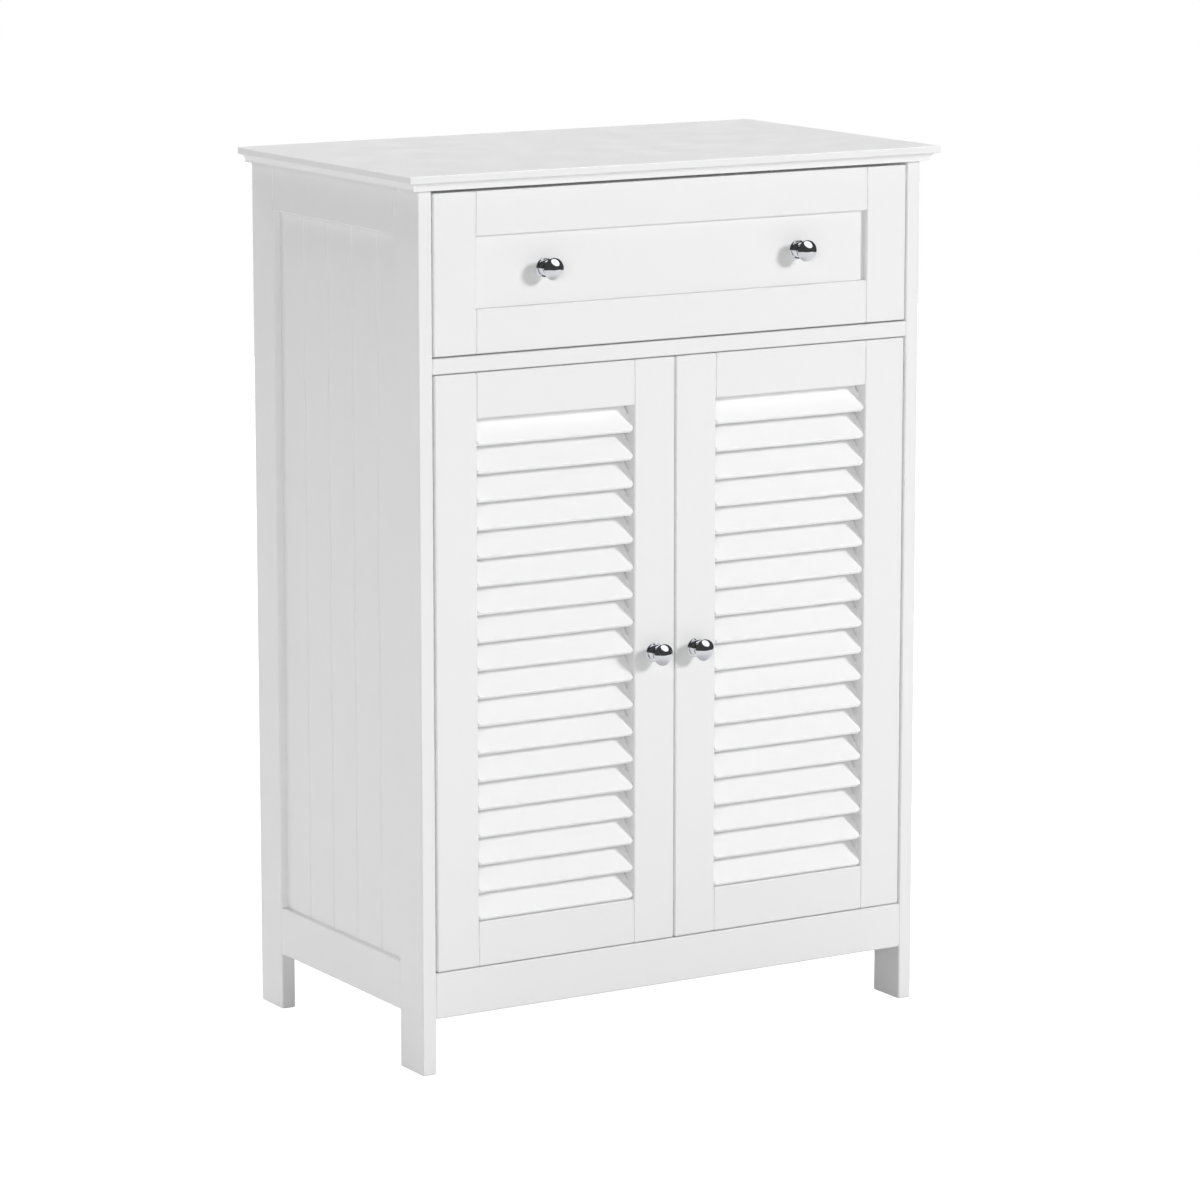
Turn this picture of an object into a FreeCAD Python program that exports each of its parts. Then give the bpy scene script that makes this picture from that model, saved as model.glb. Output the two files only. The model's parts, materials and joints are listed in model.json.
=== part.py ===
import FreeCAD, Part
import math
import os

# Louvred door cabinet: one full-width drawer over a pair of inset louvred doors, on a frame-and-panel
# carcass of painted board.  Millimetres.  X runs to the right, the front faces -Y and Z is up.
# The origin is on the floor, at the middle of the width, and half-way between the tips of the door
# knobs and the back of the top board.

V = FreeCAD.Vector
X_AXIS = V(1, 0, 0)
Y_AXIS = V(0, 1, 0)
Z_AXIS = V(0, 0, 1)

# ---- overall size -------------------------------------------------------------------------------
overall_width = 600.0           # across the top board
top_depth = 350.0               # front to back of the top board
overall_height = 870.0

# ---- boards and clearances ----------------------------------------------------------------------
board = 15.0                    # carcass board thickness
arris = 1.0                     # small chamfer on every board edge
fit_gap = 0.1                   # round a part that is glued or pressed into a board
running_gap = 0.06              # radial, round a turning pin

# ---- top board ----------------------------------------------------------------------------------
top_thickness = 15.0
side_overhang = 15.0
front_overhang = 14.0
top_edge_height = 7.0           # upright part of the moulded edge
top_edge_round = 1.2
cove_radius = 7.0

# ---- side frames --------------------------------------------------------------------------------
leg_width = 45.0
side_top_rail_height = 45.0
side_bottom_rail_height = 48.0
side_bottom_rail_lift = 57.0    # underside of the lower side rail above the floor
panel_recess = 7.5              # face of the side panel behind the face of the frame
panel_rebate = 6.0              # how far the panel reaches behind the frame
boards_per_side = 5             # the panel is grooved to look like this many boards
groove_width = 3.0
groove_depth = 1.5
back_panel_thickness = 3.0
back_panel_rebate = 8.0

# ---- front of the carcass -----------------------------------------------------------------------
apron_lift = 55.0
apron_height = 45.0
drawer_front_height = 154.0
drawer_top_gap = 3.5
drawer_low_gap = 1.7
drawer_side_gap = 1.6

# ---- shelf --------------------------------------------------------------------------------------
shelf_side_gap = 0.8
shelf_setback = 30.0            # front edge of the shelf behind the face of the doors
shelf_back_gap = 2.0
shelf_step = 64.0               # between the three heights of the shelf
shelf_pin_radius = 2.5
shelf_pin_head_radius = 4.0
shelf_pin_depth = 8.0
shelf_pin_reach = 9.0
shelf_pin_from_front = 38.0
shelf_pin_from_back = 25.0

# ---- dowels and cam fittings --------------------------------------------------------------------
dowel_radius = 4.0
dowel_length = 30.0
dowel_pitch = 20.0
apron_dowel_length = 24.0
apron_dowel_in_leg = 9.0
cam_radius = 7.5
cam_depth = 12.0
cam_from_edge = 24.0
cam_slot_length = 9.0
cam_slot_width = 1.5
cam_bolt_radius = 3.0
cam_bolt_in_wood = 10.0
cam_from_front = 25.0
cam_from_back = 22.0
top_cam_inset = 40.0            # along the side top rail, from each leg

# ---- doors --------------------------------------------------------------------------------------
door_thickness = 20.0
door_side_gap = 2.2
door_end_gap = 1.2              # above and below a door
centre_gap = 1.8                # between the pair
door_stile_width = 45.6
door_rail_height = 44.0
stub_tenon_length = 8.0
stub_tenon_thickness = 8.0
stub_tenon_inset = 7.0
slat_count = 18
slat_thickness = 5.0
slat_width = 31.0
slat_edge_round = 1.2
slat_tilt = 41.0                # degrees from upright, top edge to the back
slat_nose_setback = 0.3
slat_first_lift = 0.5           # lowest nose above the bottom rail
slat_end_gap = 1.0              # beside the stiles
slat_corner_round = 3.0
slat_tenon_length = 4.0
slat_tenon_start = 5.0          # from the nose
slat_tenon_width = 14.0
slat_mortise_gap = 0.2

# ---- concealed hinges ---------------------------------------------------------------------------
hinge_from_end = 90.0           # hinge centre from the top or bottom of the door
cup_radius = 17.5
cup_depth = 13.0
cup_wall = 0.6
cup_from_edge = 22.5
cup_flange_thickness = 1.2
cup_flange_width = 20.0
cup_flange_height = 60.0
cup_flange_shift = 3.0
cup_plug_radius = 4.0
cup_plug_depth = 10.0
cup_plug_offset = 9.5
cup_plug_spacing = 45.0
lug_thickness = 2.0
lug_width = 5.2
door_pivot_from_edge = 9.5      # pin in the cup, from the hinge edge of the door
door_pivot_depth = 7.5          # and in front of the back of the door
arm_pivot_from_edge = 22.0      # pin in the arm, from the hinge edge of the door
arm_pivot_behind = 5.5          # and behind the back of the door
link_width = 12.0
link_thickness = 1.2
door_pivot_radius = 1.25
door_eye_radius = 2.2
arm_pivot_radius = 1.5
arm_eye_radius = 2.8
# bends of the link, from the pin in the cup: along the door, then towards the back
link_bends = [V(3.0, -3.3, 0), V(8.7, -4.1, 0), V(13.8, 0.6, 0), V(14.0, 4.0, 0)]
side_play = 0.3                 # between a link and what it is pinned to
arm_sheet = 1.5
arm_tip_radius = 3.6
arm_height_on_plate = 7.0
plate_thickness = 3.0
plate_length = 19.0
plate_height = 48.0
plate_behind_door = 5.0
plate_screw_pitch = 32.0
arm_length = 36.0               # along the side of the cabinet
arm_screw_spacing = 18.0

# ---- magnetic catch -----------------------------------------------------------------------------
catch_width = 56.0
catch_depth = 14.0
catch_height = 12.0
catch_plate_thickness = 1.0
catch_plate_width = 20.0
catch_plate_height = 9.0
catch_air_gap = 0.3

# ---- drawer -------------------------------------------------------------------------------------
drawer_front_thickness = 15.0
drawer_rail_height = 42.5
drawer_panel_recess = 5.5
drawer_panel_rebate = 6.0
drawer_side_thickness = 12.0
drawer_side_height = 104.0
drawer_side_lift = 16.0         # underside of the drawer sides above the divider
drawer_space_behind = 18.0      # between the drawer and the back panel
drawer_bottom_thickness = 3.0
drawer_bottom_lift = 8.0        # above the underside of the sides
drawer_groove_depth = 5.0

# ---- drawer runners -----------------------------------------------------------------------------
runner_space = 12.5             # between the carcass and the drawer side
runner_lift = 8.0               # above the divider
runner_height = 34.0
runner_sheet = 1.2
runner_setback = 18.0           # front end of the cabinet runner behind the face of the carcass
runner_overrun = 3.0            # cabinet runner beyond the back of the drawer
runner_flange = 8.8
roller_radius = 7.0
roller_width = 6.0
roller_play = 0.3               # above and below a roller
roller_inset = 10.0             # axle from the end of its runner
roller_tab_length = 24.0
axle_radius = 2.0
axle_head_radius = 3.0
axle_head_thickness = 0.6
drawer_runner_height = 26.0

# ---- screws and knobs ---------------------------------------------------------------------------
screw_radius = 1.75
screw_head_radius = 3.5
screw_head_thickness = 1.6
screw_in_wood = 6.0
knob_reach = 24.0               # tip of a knob in front of the face it stands on
knob_head_radius = 10.7
knob_dome_height = 6.5          # from the rim of the head to its tip
knob_back_radius = 10.2         # where the rim turns into the sloping back of the head
knob_back_start = 15.8          # both from the face the knob stands on
knob_neck_end = 10.5
knob_foot_radius = 9.2
knob_foot_thickness = 1.6
knob_drum_radius = 7.5
knob_drum_end = 8.0             # from the face, where the neck begins
knob_neck_radius = 5.0
knob_bolt_radius = 2.0
knob_bolt_in_knob = 8.0
knob_bolt_head_radius = 4.2
knob_bolt_head_thickness = 2.2
drawer_knob_spacing = 288.0

# ---- planes worked out from the sizes -----------------------------------------------------------
back_y = (top_depth + knob_reach - front_overhang) / 2
front_y = back_y - top_depth + front_overhang
body_half = overall_width / 2 - side_overhang
inner_half = body_half - board
underside_z = overall_height - top_thickness
apron_top_z = apron_lift + apron_height
drawer_front_top_z = underside_z - drawer_top_gap
drawer_front_low_z = drawer_front_top_z - drawer_front_height
divider_top_z = drawer_front_low_z - drawer_low_gap
divider_low_z = divider_top_z - board
door_top_z = divider_low_z - door_end_gap
door_low_z = apron_top_z + door_end_gap
door_mid_z = (door_top_z + door_low_z) / 2
back_panel_y = back_y - back_panel_thickness
front_leg_back_y = front_y + leg_width
rear_leg_front_y = back_y - leg_width
side_opening_low_z = side_bottom_rail_lift + side_bottom_rail_height
side_opening_top_z = underside_z - side_top_rail_height

door_left_x = -inner_half + door_side_gap
door_right_x = -centre_gap / 2
door_back_y = front_y + door_thickness
louvre_left_x = door_left_x + door_stile_width
louvre_right_x = door_right_x - door_stile_width
louvre_low_z = door_low_z + door_rail_height
louvre_top_z = door_top_z - door_rail_height
slat_pitch = (louvre_top_z - louvre_low_z) / slat_count
slat_lean = math.radians(slat_tilt)
slat_nose_reach = ((slat_thickness / 2 - slat_edge_round) * (math.sin(slat_lean) + math.cos(slat_lean))
                   + slat_edge_round)
hinge_heights = [door_low_z + hinge_from_end, door_top_z - hinge_from_end]
cup_x = door_left_x + cup_from_edge
door_pivot = V(door_left_x + door_pivot_from_edge, door_back_y - door_pivot_depth, 0)
arm_pivot = V(door_left_x + arm_pivot_from_edge, door_back_y + arm_pivot_behind, 0)
plate_y = door_back_y + plate_behind_door

drawer_back_y = front_y + drawer_front_thickness
drawer_half = inner_half - runner_space
drawer_side_low_z = divider_top_z + drawer_side_lift
drawer_side_top_z = drawer_side_low_z + drawer_side_height
drawer_bottom_z = drawer_side_low_z + drawer_bottom_lift
drawer_end_y = back_panel_y - drawer_space_behind
drawer_rail_top_z = drawer_front_low_z + drawer_rail_height
drawer_mid_z = (drawer_front_low_z + drawer_front_top_z) / 2

runner_z = divider_top_z + runner_lift
runner_y = front_y + runner_setback
roller_z = runner_z + runner_sheet + roller_play + roller_radius
drawer_flange_z = roller_z + roller_radius + roller_play
cabinet_roller_y = runner_y + roller_inset
drawer_roller_y = drawer_end_y - roller_inset


# ---- small helpers ------------------------------------------------------------------------------
def box(x0, x1, y0, y1, z0, z1):
    return Part.makeBox(x1 - x0, y1 - y0, z1 - z0, V(x0, y0, z0))


def plank(x0, x1, y0, y1, z0, z1):
    """A board with a small chamfer on all its edges."""
    blank = box(x0, x1, y0, y1, z0, z1)
    return blank.makeChamfer(arris, blank.Edges)


def rod(start, axis, radius, length):
    return Part.makeCylinder(radius, length, start, axis)


def prism(points, height):
    """Upright prism on a closed outline of points."""
    return Part.Face(Part.makePolygon(points + [points[0]])).extrude(V(0, 0, height))


def mirrored(shape):
    """The same piece for the right-hand side."""
    return shape.mirror(V(0, 0, 0), X_AXIS)


def both_sides(shapes):
    return shapes + [mirrored(s) for s in shapes]


def group(shapes):
    return Part.makeCompound(shapes)


def cut_all(shape, tools):
    """Cut the tools that reach the shape, and leave one clean solid."""
    near = [t for t in tools if t.BoundBox.intersect(shape.BoundBox)]
    if not near:
        return shape
    return shape.cut(near).removeSplitter().Solids[0]


# ---- dowels and cam fittings --------------------------------------------------------------------
def dowel_places():
    """Start, direction and length of the dowels of the left side."""
    places = []
    middle_x = -body_half + board / 2
    rail_middles = [(side_bottom_rail_lift + side_opening_low_z) / 2, (side_opening_top_z + underside_z) / 2]
    for rail_z in rail_middles:
        for joint_y in (front_leg_back_y, rear_leg_front_y):
            for step in (-1, 1):
                start = V(middle_x, joint_y - dowel_length / 2, rail_z + step * dowel_pitch / 2)
                places.append((start, Y_AXIS, dowel_length))
    for step in (-1, 1):
        apron_z = apron_lift + apron_height / 2 + step * dowel_pitch / 2
        start = V(-inner_half - apron_dowel_in_leg, front_y + board / 2, apron_z)
        places.append((start, X_AXIS, apron_dowel_length))
    return places


def make_dowels(gap):
    dowels = []
    for start, axis, length in dowel_places():
        dowels.append(rod(start - axis * gap, axis, dowel_radius + gap, length + 2 * gap))
    return both_sides(dowels)


def cam_places():
    """Cam centre on the face it is let into, cam axis and bolt axis, for the left side."""
    places = []
    cam_x = -inner_half + cam_from_edge
    for face_z in (divider_low_z, apron_top_z - board):
        for cam_y in (front_y + cam_from_front, back_y - cam_from_back):
            places.append((V(cam_x, cam_y, face_z), Z_AXIS, V(-1, 0, 0)))
    cam_z = underside_z - cam_from_edge
    for cam_y in (front_leg_back_y + top_cam_inset, rear_leg_front_y - top_cam_inset):
        places.append((V(-inner_half, cam_y, cam_z), V(-1, 0, 0), Z_AXIS))
    return places


def cam_bolt(face_centre, cam_axis, bolt_axis, gap):
    start = face_centre + cam_axis * (board / 2)
    length = cam_from_edge + cam_bolt_in_wood
    return rod(start, bolt_axis, cam_bolt_radius + gap, length + gap)


def cam_blank(face_centre, cam_axis, gap):
    return rod(face_centre, cam_axis, cam_radius + gap, cam_depth + gap)


def make_cam_holes():
    holes = []
    for centre, cam_axis, bolt_axis in cam_places():
        holes.append(cam_blank(centre, cam_axis, fit_gap))
        holes.append(cam_bolt(centre, cam_axis, bolt_axis, fit_gap))
    return both_sides(holes)


def make_cam_bolts():
    return both_sides([cam_bolt(c, a, b, 0) for c, a, b in cam_places()])


def make_cam_locks():
    """Round cam bodies with a driver slot and a cross hole for the bolt."""
    locks = []
    for centre, cam_axis, bolt_axis in cam_places():
        slot = box(-cam_slot_length / 2, cam_slot_length / 2, -cam_slot_width / 2, cam_slot_width / 2,
                   0, cam_slot_width)
        slot.Placement = FreeCAD.Placement(centre, FreeCAD.Rotation(Z_AXIS, cam_axis))
        bolt_hole = cam_bolt(centre, cam_axis, bolt_axis, fit_gap)
        locks.append(cut_all(cam_blank(centre, cam_axis, 0), [bolt_hole, slot]))
    return both_sides(locks)


# ---- shelf and its pins -------------------------------------------------------------------------
def shelf_pin_places(height):
    return [V(-inner_half, front_y + shelf_pin_from_front, height),
            V(-inner_half, back_y - shelf_pin_from_back, height)]


def make_shelf_pin_holes():
    holes = []
    for step in (-1, 0, 1):
        for place in shelf_pin_places(door_mid_z + step * shelf_step):
            holes.append(rod(place, V(-1, 0, 0), shelf_pin_radius + fit_gap, shelf_pin_depth + fit_gap))
    return both_sides(holes)


def make_shelf_pins():
    pins = []
    for place in shelf_pin_places(door_mid_z):
        stem = rod(place, V(-1, 0, 0), shelf_pin_radius, shelf_pin_depth)
        head = rod(place, X_AXIS, shelf_pin_head_radius, shelf_pin_reach)
        pins.append(stem.fuse(head).removeSplitter())
    return both_sides(pins)


def make_shelf():
    low_z = door_mid_z + shelf_pin_head_radius + fit_gap
    half = inner_half - shelf_side_gap
    return plank(-half, half, front_y + shelf_setback, back_panel_y - shelf_back_gap, low_z, low_z + board)


# ---- screws -------------------------------------------------------------------------------------
def wood_screw(place, length, gap):
    """Screw driven in -X at the left side, its head standing on the given point."""
    shank = rod(place, V(-1, 0, 0), screw_radius + gap, length + gap)
    if gap:
        return shank
    head = rod(place, X_AXIS, screw_head_radius, screw_head_thickness)
    return shank.fuse(head).removeSplitter()


def runner_screw_places():
    x = -inner_half + runner_sheet
    z = runner_z + runner_height * 0.72
    ends = [front_y + leg_width * 0.75, back_y - leg_width * 0.75]
    return [V(x, y, z) for y in ends]


def hinge_screw_places():
    x = -inner_half + plate_thickness
    y = plate_y + plate_length / 2
    steps = (-plate_screw_pitch / 2, plate_screw_pitch / 2)
    return [V(x, y, z + step) for z in hinge_heights for step in steps]


def make_wood_screws(gap):
    screws = [wood_screw(p, runner_sheet + screw_in_wood, gap) for p in runner_screw_places()]
    screws += [wood_screw(p, plate_thickness + screw_in_wood, gap) for p in hinge_screw_places()]
    return both_sides(screws)


# ---- carcass ------------------------------------------------------------------------------------
def edge_cutter(length):
    """What the moulded edge leaves out, for an edge along X at Y = 0 with the board behind it."""
    r = top_edge_round
    high = overall_height
    edge_low_z = high - top_edge_height
    cove_y = r + cove_radius
    far = -2 * r
    corner = r * (1 - math.sqrt(0.5))
    cove_mid = V(0, r + cove_radius * math.sqrt(0.5), edge_low_z - cove_radius * (1 - math.sqrt(0.5)))
    low_z = underside_z - r
    edges = [
        Part.LineSegment(V(0, far, high + r), V(0, r, high + r)),
        Part.LineSegment(V(0, r, high + r), V(0, r, high)),
        Part.Arc(V(0, r, high), V(0, corner, high - corner), V(0, 0, high - r)),
        Part.LineSegment(V(0, 0, high - r), V(0, 0, edge_low_z + r)),
        Part.Arc(V(0, 0, edge_low_z + r), V(0, corner, edge_low_z + corner), V(0, r, edge_low_z)),
        Part.Arc(V(0, r, edge_low_z), cove_mid, V(0, cove_y, edge_low_z - cove_radius)),
        Part.LineSegment(V(0, cove_y, edge_low_z - cove_radius), V(0, cove_y, low_z)),
        Part.LineSegment(V(0, cove_y, low_z), V(0, far, low_z)),
        Part.LineSegment(V(0, far, low_z), V(0, far, high + r)),
    ]
    outline = Part.Wire([e.toShape() for e in edges])
    return Part.Face(outline).extrude(V(length, 0, 0))


def make_top_board(holes):
    half = overall_width / 2
    top_front_y = back_y - top_depth
    blank = box(-half, half, top_front_y, back_y, underside_z, overall_height)
    front_cutter = edge_cutter(2 * overall_width)
    front_cutter.translate(V(-overall_width, top_front_y, 0))
    left_cutter = edge_cutter(2 * top_depth)
    left_cutter.rotate(V(0, 0, 0), Z_AXIS, -90)
    left_cutter.translate(V(-half, back_y + top_depth / 2, 0))
    return cut_all(blank, [front_cutter, left_cutter, mirrored(left_cutter)] + holes)


def panel_seat(gap):
    """Space behind the side frame that the grooved panel fills."""
    return box(-body_half + panel_recess, -inner_half,
               front_leg_back_y - panel_rebate + gap, rear_leg_front_y + panel_rebate - gap,
               side_opening_low_z - panel_rebate + gap, side_opening_top_z + panel_rebate - gap)


def make_side_panel(holes):
    panel = panel_seat(fit_gap)
    board_width = (rear_leg_front_y - front_leg_back_y) / boards_per_side
    face_x = -body_half + panel_recess
    grooves = []
    for i in range(1, boards_per_side):
        y = front_leg_back_y + i * board_width
        half = groove_width / 2
        outline = [V(face_x, y - half, 0), V(face_x, y + half, 0), V(face_x + groove_depth, y, 0)]
        grooves.append(prism(outline, overall_height))
    return cut_all(panel, grooves + holes)


def make_leg(y0, y1, holes):
    leg = plank(-body_half, -inner_half, y0, y1, 0, underside_z)
    back_seat = box(-inner_half - back_panel_rebate, inner_half, back_panel_y, back_y + board,
                    apron_top_z - board, underside_z)
    return cut_all(leg, [panel_seat(0), back_seat] + holes)


def make_side_rail(z0, z1, holes):
    rail = plank(-body_half, -inner_half, front_leg_back_y, rear_leg_front_y, z0, z1)
    return cut_all(rail, [panel_seat(0)] + holes)


def make_divider_panel(holes):
    return cut_all(plank(-inner_half, inner_half, front_y, back_panel_y, divider_low_z, divider_top_z), holes)


def make_bottom_panel(holes):
    panel = plank(-inner_half, inner_half, front_y + board, back_panel_y, apron_top_z - board, apron_top_z)
    return cut_all(panel, holes)


def make_front_apron(holes):
    return cut_all(plank(-inner_half, inner_half, front_y, front_y + board, apron_lift, apron_top_z), holes)


def make_back_panel():
    half = inner_half + back_panel_rebate - fit_gap
    return box(-half, half, back_panel_y, back_y, apron_top_z - board + fit_gap, underside_z)


# ---- louvred doors (built for the left door) ----------------------------------------------------
def place_slat(shape, index):
    """Tilt a slat that lies flat, nose along X, and put it at its height in the door."""
    nose_centre = V(0, front_y + slat_nose_setback + slat_nose_reach,
                    louvre_low_z + slat_first_lift + slat_nose_reach + index * slat_pitch)
    shape.Placement = FreeCAD.Placement(nose_centre, FreeCAD.Rotation(X_AXIS, 90 - slat_tilt))
    return shape


def slat_blank():
    """Flat strip with softened long edges, long enough for the tenons, its nose round the origin."""
    r = slat_thickness / 2
    strip = box(louvre_left_x - slat_tenon_length, louvre_right_x + slat_tenon_length,
                -r, slat_width - r, -r, r)
    long_edges = [e for e in strip.Edges if abs(e.tangentAt(e.FirstParameter).x) > 0.9]
    return strip.makeFillet(slat_edge_round, long_edges)


def slat_outline():
    """Plan of a slat: rounded corners at the nose and a tenon at each end."""
    nose_y = -slat_thickness / 2
    far_y = slat_width - slat_thickness / 2
    x0 = louvre_left_x + slat_end_gap
    x1 = louvre_right_x - slat_end_gap
    body = box(x0, x1, nose_y, far_y, -slat_thickness, slat_thickness)
    corners = [e for e in body.Edges
               if abs(e.CenterOfMass.y - nose_y) < 0.01 and abs(e.CenterOfMass.z) < 0.01]
    body = body.makeFillet(slat_corner_round, corners)
    tenon_y = nose_y + slat_tenon_start
    tenon = box(louvre_left_x - slat_tenon_length, louvre_right_x + slat_tenon_length,
                tenon_y, tenon_y + slat_tenon_width, -slat_thickness, slat_thickness)
    return body.fuse(tenon)


def make_slats():
    slat = slat_blank().common(slat_outline()).removeSplitter().Solids[0]
    return [place_slat(slat.copy(), i) for i in range(slat_count)]


def slat_mortises():
    y0 = slat_tenon_start - slat_thickness / 2 - slat_mortise_gap
    half = slat_thickness / 2 + fit_gap
    depth = slat_tenon_length + slat_mortise_gap
    mortises = []
    for i in range(slat_count):
        slot = box(louvre_left_x - depth, louvre_right_x + depth,
                   y0, y0 + slat_tenon_width + 2 * slat_mortise_gap, -half, half)
        mortises.append(place_slat(slot, i))
    return mortises


def rail_tenons(z0, z1, gap):
    middle_y = front_y + door_thickness / 2
    half = stub_tenon_thickness / 2 + gap
    reach = stub_tenon_length + gap
    return box(louvre_left_x - reach, louvre_right_x + reach, middle_y - half, middle_y + half,
               z0 + stub_tenon_inset - gap, z1 - stub_tenon_inset + gap)


def make_door_rail(z0, z1):
    rail = plank(louvre_left_x, louvre_right_x, front_y, door_back_y, z0, z1)
    return rail.fuse(rail_tenons(z0, z1, 0)).removeSplitter().Solids[0]


def door_mortises():
    tenons = [rail_tenons(door_low_z, louvre_low_z, fit_gap), rail_tenons(louvre_top_z, door_top_z, fit_gap)]
    return tenons + slat_mortises()


def make_outer_stile():
    stile = plank(door_left_x, louvre_left_x, front_y, door_back_y, door_low_z, door_top_z)
    seats = [cup_body(z, fit_gap) for z in hinge_heights]
    return cut_all(stile, door_mortises() + seats)


def make_inner_stile():
    stile = plank(louvre_right_x, door_right_x, front_y, door_back_y, door_low_z, door_top_z)
    bolt_hole = knob_bolt(door_knob_place(), door_thickness, fit_gap)
    return cut_all(stile, door_mortises() + [bolt_hole])


# ---- knobs --------------------------------------------------------------------------------------
def door_knob_place():
    return V(door_right_x - door_stile_width / 2, front_y, door_mid_z)


def drawer_knob_place():
    return V(-drawer_knob_spacing / 2, front_y + drawer_panel_recess, drawer_mid_z)


def make_knob(place):
    """Domed head on a neck, a drum and a round foot, turned about the axis out of the face."""
    dome_radius = (knob_head_radius ** 2 + knob_dome_height ** 2) / (2 * knob_dome_height)
    half_turn = math.asin(knob_head_radius / dome_radius) / 2
    on_dome = V(dome_radius * math.sin(half_turn), 0,
                knob_reach - dome_radius * (1 - math.cos(half_turn)))
    corners = [
        V(knob_head_radius, 0, knob_reach - knob_dome_height),
        V(knob_back_radius, 0, knob_back_start),
        V(knob_neck_radius, 0, knob_neck_end),
        V(knob_neck_radius, 0, knob_drum_end),
        V(knob_drum_radius, 0, knob_drum_end),
        V(knob_drum_radius, 0, knob_foot_thickness),
        V(knob_foot_radius, 0, knob_foot_thickness),
        V(knob_foot_radius, 0, 0),
        V(0, 0, 0),
        V(0, 0, knob_reach),
    ]
    edges = [Part.LineSegment(a, b) for a, b in zip(corners, corners[1:])]
    edges.append(Part.Arc(corners[-1], on_dome, corners[0]))
    half_section = Part.Face(Part.Wire([e.toShape() for e in edges]))
    knob = half_section.revolve(V(0, 0, 0), Z_AXIS, 360)
    hole = rod(V(0, 0, 0), Z_AXIS, knob_bolt_radius + fit_gap, knob_bolt_in_knob + fit_gap)
    knob = knob.cut(hole)
    knob.Placement = FreeCAD.Placement(place, FreeCAD.Rotation(Z_AXIS, V(0, -1, 0)))
    return knob.Solids[0]


def knob_bolt(place, wood, gap):
    """Machine screw from behind, through the wood and into the knob."""
    back = place + Y_AXIS * wood
    shank = rod(back, V(0, -1, 0), knob_bolt_radius + gap, wood + knob_bolt_in_knob)
    if gap:
        return shank
    head = rod(back, Y_AXIS, knob_bolt_head_radius, knob_bolt_head_thickness)
    return shank.fuse(head).removeSplitter()


# ---- concealed hinges (built for the left door) -------------------------------------------------
def cup_body(height, gap):
    """Outer shape of a cup and its two press-in plugs, let into the back of the door."""
    centre = V(cup_x, door_back_y, height)
    body = rod(centre, V(0, -1, 0), cup_radius + gap, cup_depth + gap)
    for step in (-1, 1):
        plug_place = centre + V(cup_plug_offset, 0, step * cup_plug_spacing / 2)
        body = body.fuse(rod(plug_place, V(0, -1, 0), cup_plug_radius + gap, cup_plug_depth + gap))
    return body


def make_hinge_cup(height):
    centre = V(cup_x, door_back_y, height)
    inner_radius = cup_radius - cup_wall
    flange_x = cup_x + cup_flange_shift - cup_flange_width / 2
    flange = box(flange_x, flange_x + cup_flange_width, door_back_y, door_back_y + cup_flange_thickness,
                 height - cup_flange_height / 2, height + cup_flange_height / 2)
    hollow = rod(centre + Y_AXIS * cup_flange_thickness, V(0, -1, 0), inner_radius,
                 cup_flange_thickness + cup_depth - cup_wall)
    lug_inner = link_width / 2 + side_play
    lug_low_y = door_back_y - cup_depth + cup_wall
    lugs = []
    for side in (-1, 1):
        z = height + side * (lug_inner + lug_thickness / 2)
        lugs.append(box(door_pivot.x - lug_width, door_pivot.x + lug_width / 2, lug_low_y,
                        door_pivot.y + lug_width / 2, z - lug_thickness / 2, z + lug_thickness / 2))
    lugs = group(lugs).common(hollow)
    pin_hole = rod(V(door_pivot.x, door_pivot.y, height - cup_radius), Z_AXIS,
                   door_pivot_radius + running_gap, 2 * cup_radius)
    shell = cup_body(height, 0).fuse(flange).cut(hollow)
    lugs = lugs.cut(pin_hole)
    return shell.fuse(lugs).removeSplitter().Solids[0]


def link_strip(height):
    """Sheet strip bent round the hinge edge of the door, from pin to pin."""
    low_z = height - link_width / 2
    pins = [door_pivot] + [door_pivot + bend for bend in link_bends] + [arm_pivot]
    half = link_thickness / 2
    pieces = []
    for a, b in zip(pins, pins[1:]):
        along = (b - a).normalize()
        across = V(-along.y, along.x, 0) * half
        outline = [a + across, b + across, b - across, a - across]
        run = prism(outline, link_width)
        run.translate(V(0, 0, low_z))
        pieces.append(run)
        pieces.append(rod(V(b.x, b.y, low_z), Z_AXIS, half, link_width))
    return pieces


def make_hinge_link(height):
    low_z = height - link_width / 2
    arm_reach = link_width / 2 + side_play + arm_sheet
    lug_reach = link_width / 2 + side_play + lug_thickness
    eyes = [
        rod(V(door_pivot.x, door_pivot.y, low_z), Z_AXIS, door_eye_radius, link_width),
        rod(V(arm_pivot.x, arm_pivot.y, low_z), Z_AXIS, arm_eye_radius, link_width),
        rod(V(door_pivot.x, door_pivot.y, height - lug_reach), Z_AXIS, door_pivot_radius, 2 * lug_reach),
        rod(V(arm_pivot.x, arm_pivot.y, height - arm_reach), Z_AXIS, arm_pivot_radius, 2 * arm_reach),
    ]
    strip = link_strip(height)
    return strip[0].fuse(strip[1:] + eyes).removeSplitter().Solids[0]


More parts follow.
